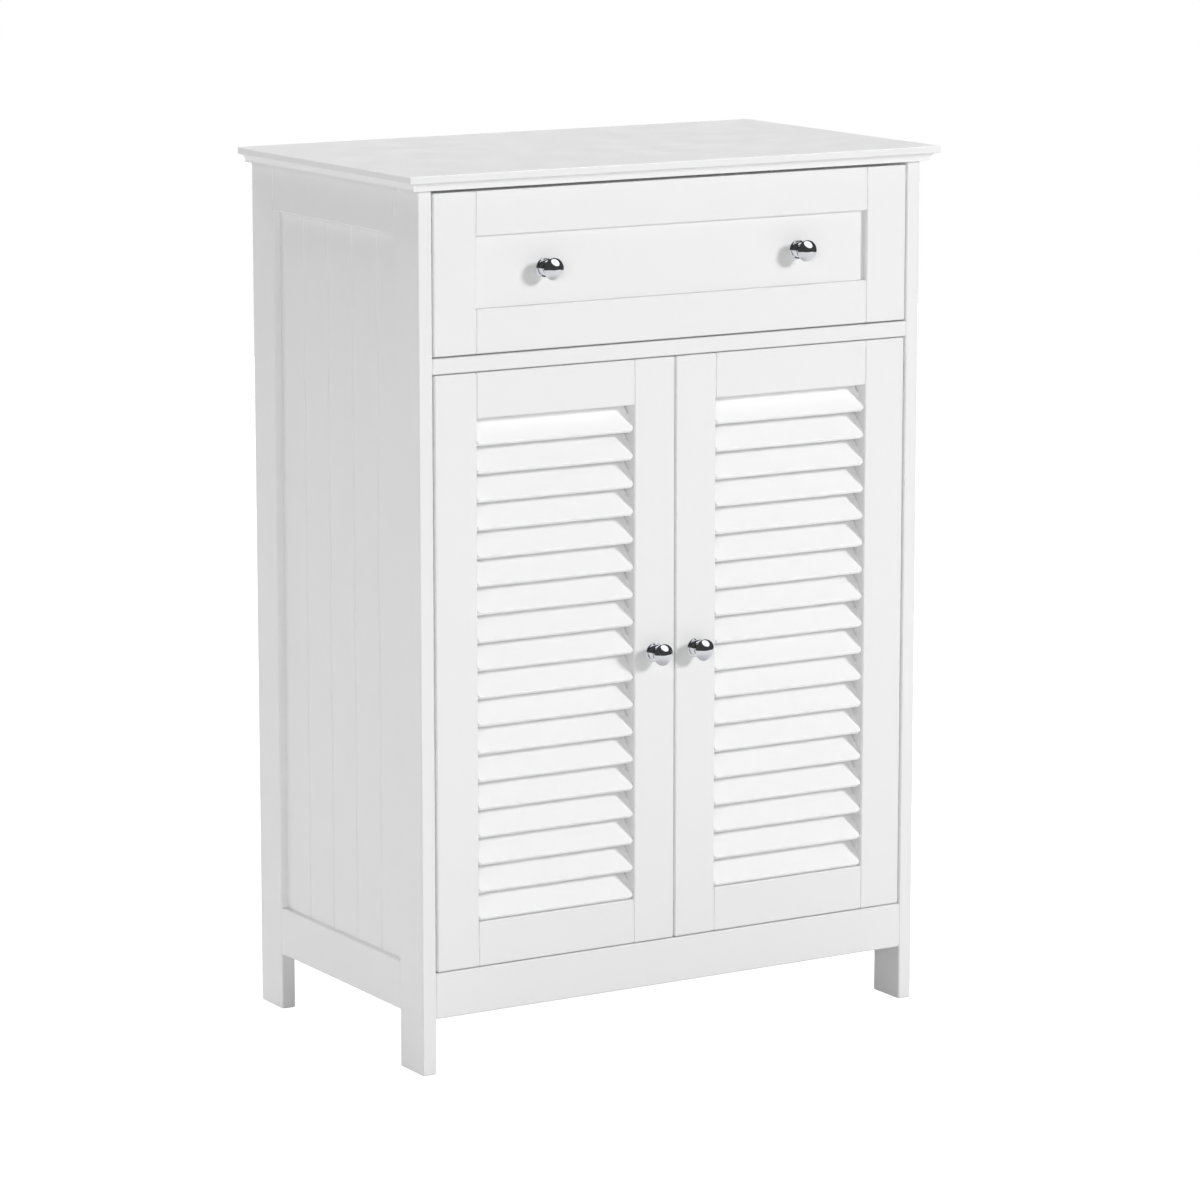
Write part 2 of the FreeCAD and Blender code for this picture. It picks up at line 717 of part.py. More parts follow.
def make_hinge_arm(height):
    """Channel from the mounting plate to the pin behind the door: two cheeks and a web."""
    base_x = -inner_half + plate_thickness
    base_end_y = plate_y + arm_length
    tip = arm_tip_radius * math.sqrt(0.5)
    outline = [
        V(base_x, plate_y, 0),
        V(arm_pivot.x, arm_pivot.y - arm_tip_radius, 0),
        V(arm_pivot.x + tip, arm_pivot.y + tip, 0),
        V(base_x + arm_height_on_plate, plate_y + plate_length, 0),
        V(base_x + arm_height_on_plate, base_end_y, 0),
        V(base_x, base_end_y, 0),
    ]
    inner = link_width / 2 + side_play
    cheeks = []
    for low in (height - inner - arm_sheet, height + inner):
        cheek = prism(outline, arm_sheet)
        cheek.translate(V(0, 0, low))
        cheeks.append(cheek.fuse(rod(V(arm_pivot.x, arm_pivot.y, low), Z_AXIS, arm_tip_radius, arm_sheet)))
    web = box(base_x, base_x + arm_sheet, plate_y, base_end_y, height - inner - arm_sheet,
              height + inner + arm_sheet)
    screw_ys = (plate_y + plate_length / 2, plate_y + plate_length / 2 + arm_screw_spacing)
    screw_heads = [rod(V(base_x + arm_sheet, y, height), X_AXIS, screw_head_radius, screw_head_thickness)
                   for y in screw_ys]
    pin_hole = rod(V(arm_pivot.x, arm_pivot.y, height - cup_radius), Z_AXIS,
                   arm_pivot_radius + running_gap, 2 * cup_radius)
    return web.fuse(cheeks + screw_heads).cut(pin_hole).removeSplitter().Solids[0]


def make_hinge_plate(height, holes):
    plate = box(-inner_half, -inner_half + plate_thickness, plate_y, plate_y + plate_length,
                height - plate_height / 2, height + plate_height / 2)
    upright_edges = [e for e in plate.Edges if abs(e.tangentAt(e.FirstParameter).x) > 0.9]
    return cut_all(plate.makeFillet(plate_length / 5, upright_edges), holes)


# ---- magnetic catch -----------------------------------------------------------------------------
def make_door_catch():
    """Double magnetic catch under the divider, one face for each door."""
    face_y = door_back_y + catch_plate_thickness + catch_air_gap
    case = box(-catch_width / 2, catch_width / 2, face_y, face_y + catch_depth,
               divider_low_z - catch_height, divider_low_z)
    long_edges = [e for e in case.Edges if abs(e.tangentAt(e.FirstParameter).x) > 0.9
                  and e.CenterOfMass.z < divider_low_z - catch_height / 2]
    return case.makeFillet(catch_plate_thickness, long_edges)


def make_catch_plate():
    middle_x = -catch_width / 4
    high_z = door_top_z - door_end_gap
    return box(middle_x - catch_plate_width / 2, middle_x + catch_plate_width / 2, door_back_y,
               door_back_y + catch_plate_thickness, high_z - catch_plate_height, high_z)


# ---- drawer -------------------------------------------------------------------------------------
def drawer_panel_seat(gap):
    half = -louvre_left_x + drawer_panel_rebate - gap
    return box(-half, half, front_y + drawer_panel_recess, drawer_back_y,
               drawer_rail_top_z - drawer_panel_rebate + gap,
               drawer_front_top_z - drawer_rail_height + drawer_panel_rebate - gap)


def drawer_bottom_blank(gap):
    half = drawer_half - drawer_side_thickness + drawer_groove_depth
    return box(-half - gap, half + gap, drawer_back_y - drawer_groove_depth - gap, drawer_end_y + gap,
               drawer_bottom_z - gap, drawer_bottom_z + drawer_bottom_thickness + gap)


def make_drawer_stile():
    stile = plank(-inner_half + drawer_side_gap, louvre_left_x, front_y, drawer_back_y,
                  drawer_front_low_z, drawer_front_top_z)
    return cut_all(stile, [drawer_panel_seat(0), drawer_bottom_blank(fit_gap)])


def make_drawer_rail(z0, z1):
    rail = plank(louvre_left_x, -louvre_left_x, front_y, drawer_back_y, z0, z1)
    return cut_all(rail, [drawer_panel_seat(0), drawer_bottom_blank(fit_gap)])


def make_drawer_front_panel():
    bolt_hole = knob_bolt(drawer_knob_place(), drawer_front_thickness - drawer_panel_recess, fit_gap)
    return cut_all(drawer_panel_seat(fit_gap), both_sides([bolt_hole]))


def make_drawer_side():
    side = plank(-drawer_half, -drawer_half + drawer_side_thickness, drawer_back_y, drawer_end_y,
                 drawer_side_low_z, drawer_side_top_z)
    return cut_all(side, [drawer_bottom_blank(fit_gap)])


def make_drawer_back():
    half = drawer_half - drawer_side_thickness
    return plank(-half, half, drawer_end_y - drawer_side_thickness, drawer_end_y,
                 drawer_bottom_z + drawer_bottom_thickness, drawer_side_top_z)


# ---- drawer runners (built for the left side) ---------------------------------------------------
def roller_axle(web_x, outward, y):
    """Rivet that carries a roller, standing out of the web of a runner."""
    length = roller_width + 2 * roller_play
    stem = rod(V(web_x, y, roller_z), X_AXIS * outward, axle_radius, length)
    head = rod(V(web_x + outward * length, y, roller_z), X_AXIS * outward, axle_head_radius,
               axle_head_thickness)
    return stem.fuse(head)


def make_cabinet_runner(holes):
    """Channel screwed to the legs; its roller carries the flange of the drawer runner."""
    x = -inner_half
    end_y = drawer_end_y + runner_overrun
    web = box(x, x + runner_sheet, runner_y, end_y, runner_z, runner_z + runner_height)
    track = box(x, x + runner_flange, runner_y, end_y, runner_z, runner_z + runner_sheet)
    lip = box(x, x + runner_flange, runner_y, end_y, runner_z + runner_height - runner_sheet,
              runner_z + runner_height)
    runner = web.fuse([track, lip, roller_axle(x + runner_sheet, 1, cabinet_roller_y)])
    return cut_all(runner.removeSplitter().Solids[0], holes)


def make_drawer_runner():
    """Strip on the drawer side with a flange that rides on the front roller, and its own rear roller."""
    side_x = -drawer_half
    web_x = side_x - runner_sheet
    flange_x = -inner_half + runner_sheet + side_play
    web = box(web_x, side_x, drawer_back_y, drawer_end_y,
              drawer_flange_z, drawer_flange_z + drawer_runner_height)
    flange = box(flange_x, side_x, drawer_back_y, drawer_end_y,
                 drawer_flange_z, drawer_flange_z + runner_sheet)
    tab = box(web_x, side_x, drawer_end_y - roller_tab_length, drawer_end_y, roller_z - axle_head_radius,
              drawer_flange_z)
    runner = web.fuse([flange, tab, roller_axle(web_x, -1, drawer_roller_y)])
    return runner.removeSplitter().Solids[0]


def make_roller(low_x, y):
    ring = rod(V(low_x, y, roller_z), X_AXIS, roller_radius, roller_width)
    bore = rod(V(low_x, y, roller_z), X_AXIS, axle_radius + running_gap, roller_width)
    return ring.cut(bore).Solids[0]


# ---- all the pieces -----------------------------------------------------------------------------
def carcass_parts():
    wood_holes = make_dowels(fit_gap) + make_cam_holes() + make_shelf_pin_holes() + make_wood_screws(fit_gap)
    screw_holes = make_wood_screws(fit_gap)
    side = {
        "front_leg": make_leg(front_y, front_leg_back_y, wood_holes),
        "rear_leg": make_leg(rear_leg_front_y, back_y, wood_holes),
        "side_top_rail": make_side_rail(side_opening_top_z, underside_z, wood_holes),
        "side_bottom_rail": make_side_rail(side_bottom_rail_lift, side_opening_low_z, wood_holes),
        "side_panel": make_side_panel(wood_holes),
    }
    parts = {"top_board": make_top_board(make_cam_holes())}
    for name, shape in side.items():
        parts["left_" + name] = shape
        parts["right_" + name] = mirrored(shape)
    parts["divider_panel"] = make_divider_panel(wood_holes)
    parts["bottom_panel"] = make_bottom_panel(wood_holes)
    parts["front_apron"] = make_front_apron(wood_holes)
    parts["back_panel"] = make_back_panel()
    parts["shelf"] = make_shelf()
    parts["shelf_pins"] = group(make_shelf_pins())
    parts["cam_locks"] = group(make_cam_locks())
    parts["cam_bolts"] = group(make_cam_bolts())
    parts["dowels"] = group(make_dowels(0))
    parts["fixing_screws"] = group(make_wood_screws(0))
    parts["cabinet_runners"] = group(both_sides([make_cabinet_runner(screw_holes)]))
    parts["hinge_plates"] = group(both_sides([make_hinge_plate(z, screw_holes) for z in hinge_heights]))
    parts["hinge_arms"] = group(both_sides([make_hinge_arm(z) for z in hinge_heights]))
    parts["door_catch"] = make_door_catch()
    return parts


def door_parts():
    left = {
        "door_outer_stile": make_outer_stile(),
        "door_inner_stile": make_inner_stile(),
        "door_top_rail": make_door_rail(louvre_top_z, door_top_z),
        "door_bottom_rail": make_door_rail(door_low_z, louvre_low_z),
        "door_slats": group(make_slats()),
        "door_hinge_cups": group([make_hinge_cup(z) for z in hinge_heights]),
        "hinge_links": group([make_hinge_link(z) for z in hinge_heights]),
        "door_catch_plate": make_catch_plate(),
        "door_knob": make_knob(door_knob_place()),
        "door_knob_bolt": knob_bolt(door_knob_place(), door_thickness, 0),
    }
    parts = {}
    for name, shape in left.items():
        parts["left_" + name] = shape
        parts["right_" + name] = mirrored(shape)
    return parts


def drawer_parts():
    stile = make_drawer_stile()
    side = make_drawer_side()
    panel_thickness = drawer_front_thickness - drawer_panel_recess
    cabinet_roller = make_roller(-inner_half + runner_sheet + roller_play, cabinet_roller_y)
    drawer_roller = make_roller(-drawer_half - runner_sheet - roller_play - roller_width, drawer_roller_y)
    return {
        "drawer_left_stile": stile,
        "drawer_right_stile": mirrored(stile),
        "drawer_top_rail": make_drawer_rail(drawer_front_top_z - drawer_rail_height, drawer_front_top_z),
        "drawer_bottom_rail": make_drawer_rail(drawer_front_low_z, drawer_rail_top_z),
        "drawer_front_panel": make_drawer_front_panel(),
        "drawer_left_side": side,
        "drawer_right_side": mirrored(side),
        "drawer_back": make_drawer_back(),
        "drawer_bottom": drawer_bottom_blank(0),
        "drawer_runners": group(both_sides([make_drawer_runner()])),
        "drawer_knobs": group(both_sides([make_knob(drawer_knob_place())])),
        "drawer_knob_bolts": group(both_sides([knob_bolt(drawer_knob_place(), panel_thickness, 0)])),
        "cabinet_rollers": group(both_sides([cabinet_roller])),
        "drawer_rollers": group(both_sides([drawer_roller])),
    }


def main():
    os.makedirs("parts", exist_ok=True)
    parts = {}
    parts.update(carcass_parts())
    parts.update(door_parts())
    parts.update(drawer_parts())
    for name, shape in parts.items():
        shape.exportStep(os.path.join("parts", name + ".step"))
    return parts


parts = main()
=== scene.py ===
import json
import math

import bmesh
import bpy
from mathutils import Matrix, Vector


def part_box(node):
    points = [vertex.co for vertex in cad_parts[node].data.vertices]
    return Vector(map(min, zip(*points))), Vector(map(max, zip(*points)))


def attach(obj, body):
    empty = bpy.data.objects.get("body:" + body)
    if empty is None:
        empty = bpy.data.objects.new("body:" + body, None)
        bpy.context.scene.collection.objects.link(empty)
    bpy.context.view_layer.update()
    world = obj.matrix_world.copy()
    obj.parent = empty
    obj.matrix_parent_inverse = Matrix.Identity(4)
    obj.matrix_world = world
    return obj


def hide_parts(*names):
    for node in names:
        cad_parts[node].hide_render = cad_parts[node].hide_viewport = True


# A painted cabinet with a drawer over two louvred doors.  Metres; the doors face -Y and Z is up.

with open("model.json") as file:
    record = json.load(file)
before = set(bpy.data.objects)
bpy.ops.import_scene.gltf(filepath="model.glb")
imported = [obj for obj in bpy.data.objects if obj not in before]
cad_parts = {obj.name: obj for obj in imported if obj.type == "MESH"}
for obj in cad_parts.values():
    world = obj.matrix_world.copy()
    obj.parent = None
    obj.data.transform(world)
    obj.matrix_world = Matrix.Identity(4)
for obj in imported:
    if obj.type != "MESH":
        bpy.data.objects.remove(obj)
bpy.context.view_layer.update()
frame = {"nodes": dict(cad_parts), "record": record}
nodes = frame["nodes"]
MM = 0.001
WHITE = (1.0, 1.0, 1.0, 1.0)
SIDES = (("left", -1), ("right", 1))


# ---- colours, nodes and materials ---------------------------------------------------------------
def linear(hex_colour):
    """An sRGB colour such as "#ededeb" as linear RGBA."""
    parts = [int(hex_colour[i:i + 2], 16) / 255 for i in (1, 3, 5)]
    return [p / 12.92 if p <= 0.04045 else ((p + 0.055) / 1.055) ** 2.4 for p in parts] + [1.0]


def add_node(tree, kind, inputs=(), **settings):
    """Adds a node; inputs maps each socket to a value or to the output that feeds it."""
    made = tree.nodes.new(kind)
    for name, value in settings.items():
        setattr(made, name, value)
    for name, value in dict(inputs).items():
        if isinstance(value, bpy.types.NodeSocket):
            tree.links.new(value, made.inputs[name])
        else:
            made.inputs[name].default_value = value
    return made


def new_material(name):
    """A node material and its empty tree."""
    material = bpy.data.materials.new(name)
    material.use_nodes = True
    material.node_tree.nodes.clear()
    return material, material.node_tree


def object_place(tree):
    """Coordinates that ride with the object."""
    return add_node(tree, "ShaderNodeTexCoord").outputs["Object"]


def noise(tree, place, size, detail, **more):
    """Noise with features size millimetres wide."""
    inputs = {"Vector": place, "Scale": 1.0 / (size * MM), "Detail": detail, **more}
    return add_node(tree, "ShaderNodeTexNoise", inputs).outputs["Fac"]


def blend(tree, share, low, high):
    """Colour that goes from low to high with the share."""
    inputs = {"Fac": share, "Color1": linear(low), "Color2": linear(high)}
    return add_node(tree, "ShaderNodeMixRGB", inputs).outputs["Color"]


def spread(tree, share, low, high):
    """Stretches the middle of a noise over the range from low to high."""
    inputs = {"Value": share, "From Min": 0.3, "From Max": 0.7, "To Min": low, "To Max": high}
    return add_node(tree, "ShaderNodeMapRange", inputs).outputs["Result"]


def bump(tree, height, strength, depth):
    """Normal of a fine relief, its depth in millimetres."""
    inputs = {"Height": height, "Strength": strength, "Distance": depth * MM}
    return add_node(tree, "ShaderNodeBump", inputs).outputs["Normal"]


def close_material(tree, inputs):
    """Feeds the shader and ends the tree."""
    shader = add_node(tree, "ShaderNodeBsdfPrincipled", inputs)
    add_node(tree, "ShaderNodeOutputMaterial", {"Surface": shader.outputs["BSDF"]})


def satin_lacquer(name, low, high, smooth, rough):
    """Two-part lacquer sprayed on primed fibreboard: satin, with a faint orange peel."""
    material, tree = new_material(name)
    place = object_place(tree)
    cloud = noise(tree, place, 180, 3.0)
    peel = noise(tree, place, 2.2, 2.0)
    wipe = noise(tree, place, 35, 4.0)
    close_material(tree, {
        "Base Color": blend(tree, cloud, low, high),
        "IOR": 1.5,
        "Roughness": spread(tree, wipe, smooth, rough),
        "Normal": bump(tree, peel, 0.25, 0.03),
    })
    return material


def foil_hardboard():
    """Hardboard faced with white paper foil: matt, with the fibres just showing through."""
    material, tree = new_material("white_foil_hardboard")
    place = object_place(tree)
    fibre = noise(tree, place, 1.6, 6.0, Roughness=0.65)
    cloud = noise(tree, place, 60, 3.0)
    close_material(tree, {
        "Base Color": blend(tree, cloud, "#e5e5e2", "#eaeae8"),
        "IOR": 1.5,
        "Roughness": 0.6,
        "Normal": bump(tree, fibre, 0.4, 0.05),
    })
    return material


def plated_metal(name, low, high, roughness, grain, lay):
    """Plated or cast metal: lay is the size of its surface marks and grain their depth, in mm."""
    material, tree = new_material(name)
    place = object_place(tree)
    marks = noise(tree, place, lay, 4.0)
    haze = noise(tree, place, lay * 9, 2.0)
    close_material(tree, {
        "Base Color": blend(tree, haze, low, high),
        "Metallic": 1.0,
        "Roughness": spread(tree, haze, roughness * 0.8, roughness * 1.25),
        "Normal": bump(tree, marks, 0.3, grain),
    })
    return material


def moulded_plastic(name, low, high, roughness, texture):
    """Plastic or powder coat: texture is the size in millimetres of its fine pebble."""
    material, tree = new_material(name)
    place = object_place(tree)
    pebble = noise(tree, place, texture, 3.0)
    close_material(tree, {
        "Base Color": blend(tree, pebble, low, high),
        "IOR": 1.5,
        "Roughness": roughness,
        "Normal": bump(tree, pebble, 0.3, 0.04),
    })
    return material


def beech():
    """Turned beech: fine straight grain along the dowel with darker flecks."""
    material, tree = new_material("beech")
    along = add_node(tree, "ShaderNodeMapping",
                     {"Vector": object_place(tree), "Scale": (0.2, 0.2, 1.0)})
    grain = noise(tree, along.outputs["Vector"], 0.8, 5.0)
    close_material(tree, {
        "Base Color": blend(tree, grain, "#b08659", "#dab386"),
        "IOR": 1.5,
        "Roughness": 0.55,
    })
    return material


def studio_floor():
    """Matt white paper, fully lit to the lens and partly to the chrome, that casts no glow."""
    material, tree = new_material("studio_floor")
    share_to_chrome = 0.35
    ray = add_node(tree, "ShaderNodeLightPath").outputs
    glow = add_node(tree, "ShaderNodeMath", {
        0: ray["Is Glossy Ray"],
        1: share_to_chrome,
        2: ray["Is Camera Ray"],
    }, operation="MULTIPLY_ADD")
    close_material(tree, {
        "Base Color": linear("#d2d2d2"),
        "Roughness": 0.9,
        "Specular IOR Level": 0.1,
        "Emission Color": WHITE,
        "Emission Strength": glow.outputs["Value"],
    })
    return material


lacquer = satin_lacquer("satin_white_lacquer", "#ebebeb", "#ededed", 0.34, 0.42)
# A lighter copy of the lacquer for the slats, as painted light: it stands in for the extra light
# the slats catch.
slat_lacquer_painted_light = satin_lacquer("satin_white_lacquer_painted_lighter", "#f5f5f5", "#f8f8f8", 0.32, 0.4)
# Thin hardboard with a paper foil, for the back and the drawer's bottom.
hardboard = foil_hardboard()
# Bright chrome plate: mirror-like and slightly cool, with a trace of haze.
chrome = plated_metal("chrome_plate", "#c9cbcf", "#d0d2d5", 0.035, 0.002, 1.5)
# Nickel plate on pressed steel: a little warm and softly bright.
nickel = plated_metal("nickel_plate", "#b1aeaa", "#bcb9b5", 0.24, 0.01, 0.6)
# Blue-bright zinc plate on screws and bolts.
zinc = plated_metal("zinc_plate", "#a9adb3", "#b9bdc2", 0.3, 0.02, 0.5)
# Zinc alloy as it comes from the die: dull grey with a fine skin.
cast_zinc = plated_metal("cast_zinc_alloy", "#94979a", "#a3a6a8", 0.45, 0.05, 0.7)
# White epoxy powder on steel sheet: even, with a soft pebble.
epoxy = moulded_plastic("white_epoxy_powder_coat", "#e2e2df", "#e7e7e5", 0.35, 1.2)
# Unfilled nylon: milky and slightly yellow.
nylon = moulded_plastic("natural_nylon", "#e3e1d6", "#e9e7de", 0.4, 0.8)
# White ABS from a fine-sparked mould.
abs_plastic = moulded_plastic("white_abs", "#e4e4e2", "#e8e8e7", 0.45, 0.6)

finishes = {
    "white_paint": lacquer,
    "white_hardboard": hardboard,
    "polished_chrome": chrome,
    "white_steel": epoxy,
    "nickel_steel": nickel,
    "zinc_steel": zinc,
    "zinc_alloy": cast_zinc,
    "nylon": nylon,
    "white_plastic": abs_plastic,
    "beech": beech(),
}
for entry in frame["record"]["subparts"]:
    node = nodes[entry["node"]]
    node.data.materials.clear()
    node.data.materials.append(finishes[entry["material_slot"]])
    # The knobs mirror the dark room and not the white front close behind them.
    node.visible_glossy = False
# The slats get the lighter lacquer copy: painted light for their brighter look.
for side, _ in SIDES:
    nodes[side + "_door_slats"].data.materials[0] = slat_lacquer_painted_light


# ---- small steps used by the modelled pieces ----------------------------------------------------
def start(primitive, name, **settings):
    """Deselects everything, adds a primitive in its place and goes into edit mode on it."""
    bpy.ops.object.select_all(action="DESELECT")
    primitive(**settings)
    piece = bpy.context.object
    piece.name = name
    bpy.ops.object.transform_apply(location=True, rotation=True, scale=True)
    bpy.ops.object.mode_set(mode="EDIT")
    return piece


def choose(piece, kind, test):
    """In edit mode, selects only the vertices, edges or faces that pass the test."""
    bpy.ops.mesh.select_all(action="DESELECT")
    bpy.ops.mesh.select_mode(type={"verts": "VERT", "edges": "EDGE", "faces": "FACE"}[kind])
    shape = bmesh.from_edit_mesh(piece.data)
    for element in getattr(shape, kind):
        if test(element):
            element.select_set(True)
    shape.select_flush_mode()
    bmesh.update_edit_mesh(piece.data)


def draw_out(climb, factors, pivot_z):
    """Extrudes what is selected along Z and resizes the new end about a point on the axis."""
    bpy.ops.mesh.extrude_region_move(TRANSFORM_OT_translate={"value": (0, 0, climb)})
    bpy.ops.transform.resize(value=factors, center_override=(0, 0, pivot_z))


def close_piece(piece):
    """Leaves edit mode, makes every face look outwards and rounds off the shading."""
    sharpest_smooth_edge = math.radians(35)
    bpy.ops.mesh.select_all(action="SELECT")
    bpy.ops.mesh.normals_make_consistent(inside=False)
    bpy.ops.object.mode_set(mode="OBJECT")
    bpy.ops.object.shade_smooth_by_angle(angle=sharpest_smooth_edge)
    piece.data.materials.clear()


def put_copy(pattern, name, place, turn, material, body, slot, *replaced):
    """Copies a finished pattern with its own mesh, turns it and sets it in its place on a body."""
    bpy.ops.object.select_all(action="DESELECT")
    pattern.select_set(True)
    bpy.context.view_layer.objects.active = pattern
    bpy.ops.object.duplicate(linked=False)
    piece = bpy.context.object
    piece.name = name
    piece.location = place
    piece.rotation_euler = [math.radians(angle) for angle in turn]
    bpy.ops.object.transform_apply(location=True, rotation=True, scale=True)
    piece.data.materials.append(material)
    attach(piece, body)
    if replaced:
        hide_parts(*replaced)


def middle(node):
    """Centre of a node's box."""
    low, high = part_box(node)
    return (low + high) / 2


# Turns, in degrees, that point a pattern's Z one way.
TO_FRONT = (90, 0, 0)
TO_BACK = (-90, 0, 0)
TO_LEFT = (0, -90, 0)
TO_RIGHT = (0, 90, 0)

# ---- knobs --------------------------------------------------------------------------------------
knob_reach = 24 * MM
head_radius = 10.7 * MM
dome_height = 6.5 * MM
dome_radius = (head_radius ** 2 + dome_height ** 2) / (2 * dome_height)
# The dome is cut this far above the rim of the head, and the first rings round the edge off.
rim_round = 0.25 * MM
# Radius and height of the rings below the dome, in millimetres.
knob_rings = [
    (10.7, 17.35), (10.66, 16.9), (10.35, 16.0), (10.0, 15.5),  # rounded rim of the head
    (5.3, 10.75), (5.0, 10.35), (5.0, 8.2), (5.2, 8.0),  # cone behind the head, and the neck
    (7.1, 8.0), (7.5, 7.6), (7.5, 1.9), (7.7, 1.6),  # drum
    (8.9, 1.6), (9.2, 1.3), (9.2, 0),  # foot
]


def model_knob():
    """Knob standing on Z = 0: the cap of a sphere, drawn out to a head, neck, drum and foot."""
    cut_tolerance = 1e-7
    same_height = 1e-6
    rim_z = knob_reach - dome_height + rim_round
    dome_z = knob_reach - dome_radius
    knob = start(bpy.ops.mesh.primitive_uv_sphere_add, "knob_pattern", segments=64,
                 ring_count=48, radius=dome_radius, location=(0, 0, dome_z))
    bpy.ops.mesh.select_all(action="SELECT")
    bpy.ops.mesh.bisect(plane_co=(0, 0, rim_z), plane_no=(0, 0, -1), clear_outer=True,
                        threshold=cut_tolerance)
    choose(knob, "verts", lambda v: abs(v.co.z - rim_z) < same_height)
    ring, height = math.sqrt(dome_radius ** 2 - (rim_z - dome_z) ** 2), rim_z
    for radius, z in [(r * MM, h * MM) for r, h in knob_rings]:
        draw_out(z - height, (radius / ring,) * 3, z)
        ring, height = radius, z
    bpy.ops.mesh.edge_face_add()
    close_piece(knob)
    return knob


door_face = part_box("left_door_inner_stile")[0].y
panel_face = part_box("drawer_front_panel")[0].y
door_knob = middle("right_door_knob")
drawer_knob_z = middle("drawer_knobs").z
drawer_knob_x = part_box("drawer_knobs")[1].x - head_radius

knob_pattern = model_knob()
for side, way in SIDES:
    spot = (way * door_knob.x, door_face, door_knob.z)
    put_copy(knob_pattern, side + "_door_chrome_knob", spot, TO_FRONT, chrome,
             side + "_door", "polished_chrome", side + "_door_knob")
    spot = (way * drawer_knob_x, panel_face, drawer_knob_z)
    put_copy(knob_pattern, side + "_drawer_chrome_knob", spot, TO_FRONT, chrome,
             "drawer", "polished_chrome", "drawer_knobs")
bpy.data.objects.remove(knob_pattern)


# ---- screws -------------------------------------------------------------------------------------
def model_screw(head, rise, shank, length):
    """Pan-head screw standing on Z = 0, with a domed head, a cross recess and a tapered end.

    head and shank are radii, rise is the height of the head and length that of the shank.
    """
    # Each step is a share of the rise or the length, and the factor that resizes its end.
    dome_steps = ((0.3, 0.9), (0.2, 0.75))
    shank_steps = ((0.75, 1.0), (0.25, 0.2))
    recess_length, recess_width, recess_height = head * 1.15, head * 0.27, rise * 1.2

    screw = start(bpy.ops.mesh.primitive_cylinder_add, "screw_pattern", vertices=32,
                  radius=head, depth=rise / 2, location=(0, 0, rise / 4))
    choose(screw, "faces", lambda f: f.normal.z > 0.9)
    for climb, shrink in dome_steps:
        draw_out(rise * climb, (shrink, shrink, 1), rise)
    choose(screw, "faces", lambda f: f.normal.z < -0.9)
    bpy.ops.mesh.inset(thickness=head - shank)
    for drop, shrink in shank_steps:
        draw_out(-length * drop, (shrink, shrink, 1), -length)
    close_piece(screw)
    for arm in ((recess_length, recess_width, recess_height),
                (recess_width, recess_length, recess_height)):
        bpy.ops.object.select_all(action="DESELECT")
        bpy.ops.mesh.primitive_cube_add(size=1, location=(0, 0, rise), scale=arm)
        punch = bpy.context.object
        bpy.ops.object.select_all(action="DESELECT")
        bpy.context.view_layer.objects.active = screw
        recess = screw.modifiers.new("recess", "BOOLEAN")
        recess.object = punch
        bpy.ops.object.modifier_apply(modifier="recess")
        bpy.data.objects.remove(punch)
    screw.data.materials.clear()
    return screw


# Faces that the screw heads sit on, and the screws' places on the runners and hinge plates.
plate_x = 267.0 * MM
runner_x = 268.8 * MM
plate_screw_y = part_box("hinge_plates")[0].y + 9.5 * MM
plate_screw_step = 16 * MM
hinge_step = 199.2 * MM
runner_screw_ys = (-122.25 * MM, 146.25 * MM)
runner_screw_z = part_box("cabinet_runners")[0].z + 24.5 * MM
door_middle_z = middle("left_door_outer_stile").z
plate_screw_zs = [door_middle_z + way * hinge_step + step * plate_screw_step
                  for way in (-1, 1) for step in (-1, 1)]

screw_pattern = model_screw(head=3.5 * MM, rise=1.6 * MM, shank=1.75 * MM, length=7.2 * MM)
for (side, way), turn in zip(SIDES, (TO_RIGHT, TO_LEFT)):
    spots = [(way * runner_x, y, runner_screw_z) for y in runner_screw_ys]
    spots += [(way * plate_x, plate_screw_y, z) for z in plate_screw_zs]
    for number, spot in enumerate(spots, 1):
        put_copy(screw_pattern, f"{side}_fixing_screw_{number}", spot, turn, zinc,
                 "cabinet", "zinc_steel", "fixing_screws")
bpy.data.objects.remove(screw_pattern)

door_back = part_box("left_door_inner_stile")[1].y
drawer_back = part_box("drawer_front_panel")[1].y
bolt_pattern = model_screw(head=4.2 * MM, rise=2.2 * MM, shank=2.0 * MM, length=17 * MM)
for side, way in SIDES:
    spot = (way * door_knob.x, door_back, door_knob.z)
    put_copy(bolt_pattern, side + "_door_knob_screw", spot, TO_BACK, zinc,
             side + "_door", "zinc_steel", side + "_door_knob_bolt")
    spot = (way * drawer_knob_x, drawer_back, drawer_knob_z)
    put_copy(bolt_pattern, side + "_drawer_knob_screw", spot, TO_BACK, zinc,
             "drawer", "zinc_steel", "drawer_knob_bolts")
bpy.data.objects.remove(bolt_pattern)

# ---- pole plates of the magnetic catch ----------------------------------------------------------
pole_size = (16 * MM, 1.2 * MM, 0.8 * MM)
pole_crown_inset = 0.25 * MM
pole_crown = 0.15 * MM
pole_x = 14 * MM
# From the front of the catch back to the middle of a plate, and from its top down to each plate.
pole_depth = 0.42 * MM
pole_drops = (4.5 * MM, 8.5 * MM)

pole = start(bpy.ops.mesh.primitive_cube_add, "pole_pattern", size=1, scale=pole_size)
choose(pole, "faces", lambda f: f.normal.z > 0.9)
bpy.ops.mesh.inset(thickness=pole_crown_inset)
bpy.ops.mesh.extrude_region_move(TRANSFORM_OT_translate={"value": (0, 0, pole_crown)})
close_piece(pole)
catch_low, catch_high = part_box("door_catch")
for side, way in SIDES:
    for number, drop in enumerate(pole_drops, 1):
        spot = (way * pole_x, catch_low.y + pole_depth, catch_high.z - drop)
        put_copy(pole, f"{side}_catch_pole_{number}", spot, TO_FRONT, nickel,
                 "cabinet", "nickel_steel")
bpy.data.objects.remove(pole)

# ---- floor, light and camera --------------------------------------------------------------------
floor_size = 9
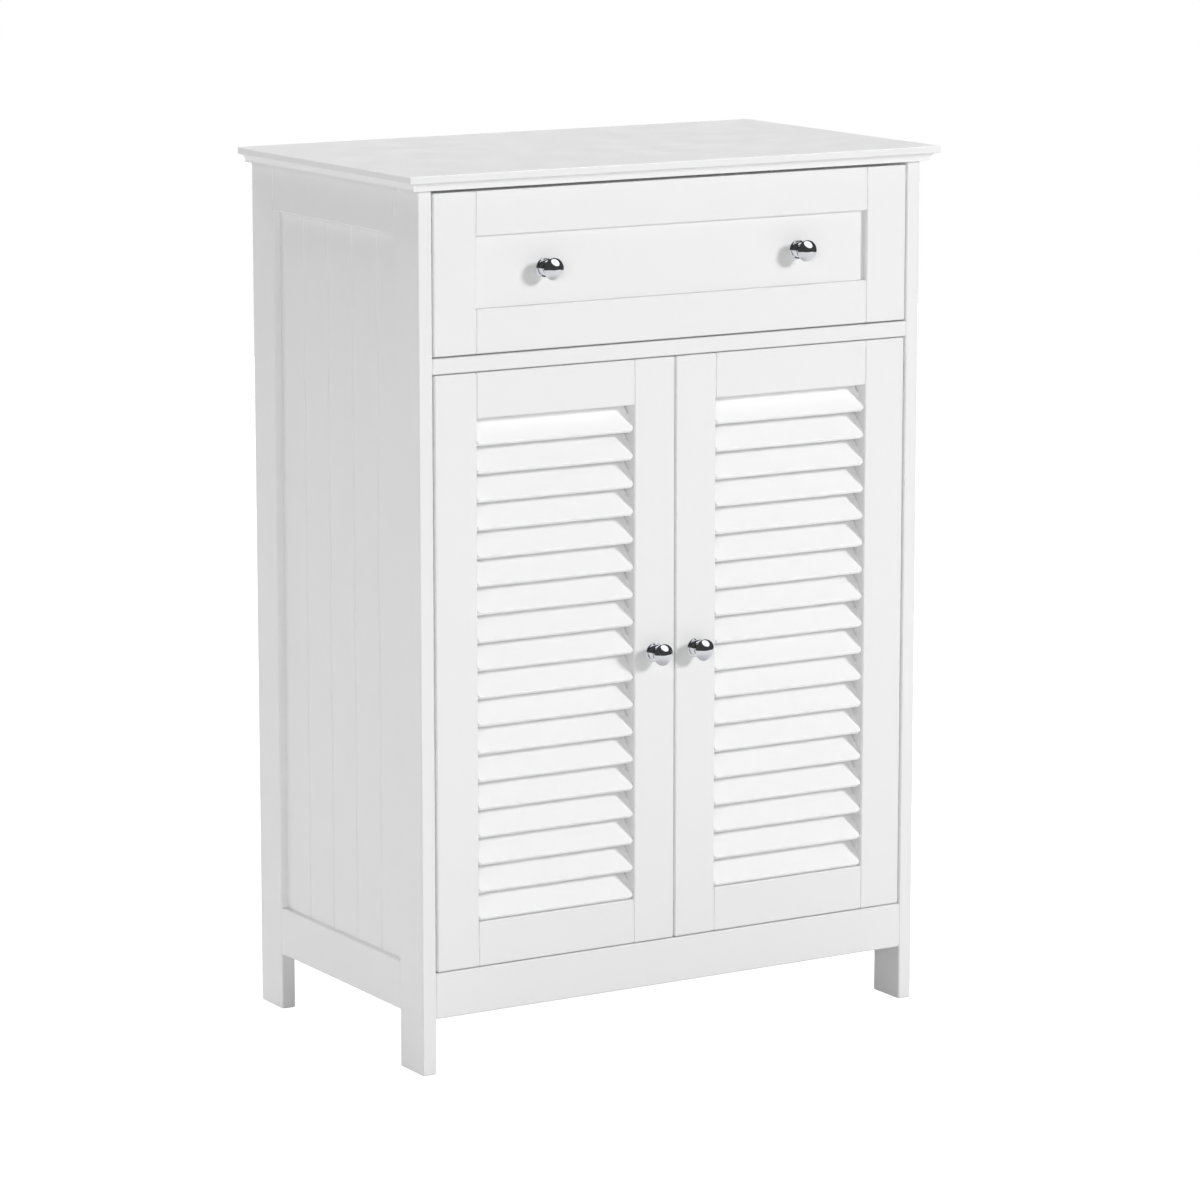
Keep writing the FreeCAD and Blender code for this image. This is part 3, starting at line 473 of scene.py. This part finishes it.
# Just under the feet, so that the two don't share a plane.
floor_z = -0.5 * MM
bpy.ops.object.select_all(action="DESELECT")
bpy.ops.mesh.primitive_plane_add(size=floor_size, location=(0, 0, floor_z))
floor = bpy.context.object
floor.name = "studio_floor"
floor.data.materials.append(studio_floor())

heart = Vector((0, 0, 0.45))


def soft_box(name, place, wide, tall, power, shape="RECTANGLE"):
    """A soft light aimed at the cabinet's middle, that the lens and the chrome don't see."""
    lamp = bpy.data.lights.new(name, "AREA")
    lamp.shape = shape
    lamp.size = wide
    lamp.size_y = tall
    lamp.energy = power
    holder = bpy.data.objects.new(name, lamp)
    bpy.context.scene.collection.objects.link(holder)
    holder.location = place
    holder.rotation_euler = (heart - holder.location).to_track_quat("-Z", "Y").to_euler()
    holder.visible_camera = False
    holder.visible_glossy = False
    return holder


# The key light draws the shadows of the knobs.
soft_box("key_box", (4.684, -5.996, 2.922), 1.4, 1.4, 358)
soft_box("front_left_box", (-4.519, -6.454, 1.839), 4.8, 2.4, 190)
soft_box("left_box", (-7.698, -0.674, 2.521), 4.8, 4.8, 46)
soft_box("back_left_box", (-6.33, 4.432, 2.521), 4.8, 4.8, 138)
soft_box("back_high_box", (0, 3.381, 7.7), 4.8, 4.8, 545)
soft_box("overhead_disc", (0.7, -0.8, 3.8), 5.4, 5.4, 21, "DISK")
# Only what is polished or satin picks up this one: the round highlight on the knobs.
highlight = soft_box("highlight_disc", (1.29, -1.56, 3.52), 4.5, 4.5, 84, "DISK")
highlight.visible_glossy = True
highlight.visible_diffuse = False

# The camera sees a white wall all round, and the room that the knobs mirror is dark.
wall_glow = 1.0
room_glow = 0.07
world = bpy.data.worlds.new("studio_air")
bpy.context.scene.world = world
world.use_nodes = True
air = world.node_tree
air.nodes.clear()
seen = add_node(air, "ShaderNodeLightPath").outputs["Is Camera Ray"]
strength = add_node(air, "ShaderNodeMapRange",
                    {"Value": seen, "To Min": room_glow, "To Max": wall_glow})
wall = add_node(air, "ShaderNodeBackground",
                {"Color": WHITE, "Strength": strength.outputs["Result"]})
add_node(air, "ShaderNodeOutputWorld", {"Surface": wall.outputs["Background"]})

# A long lens from the front left, looking a little down; angles in degrees.
look_down = 10.547
look_right = 31.263
lens = bpy.data.cameras.new("camera")
lens.lens = 150.93
lens.sensor_width = 36
lens.clip_end = 200
camera = bpy.data.objects.new("camera", lens)
bpy.context.scene.collection.objects.link(camera)
camera.location = (-2.569, -4.246, 1.339)
camera.rotation_euler = (math.radians(90 - look_down), 0, math.radians(-look_right))
bpy.context.scene.camera = camera
bpy.context.scene.view_settings.view_transform = "Standard"
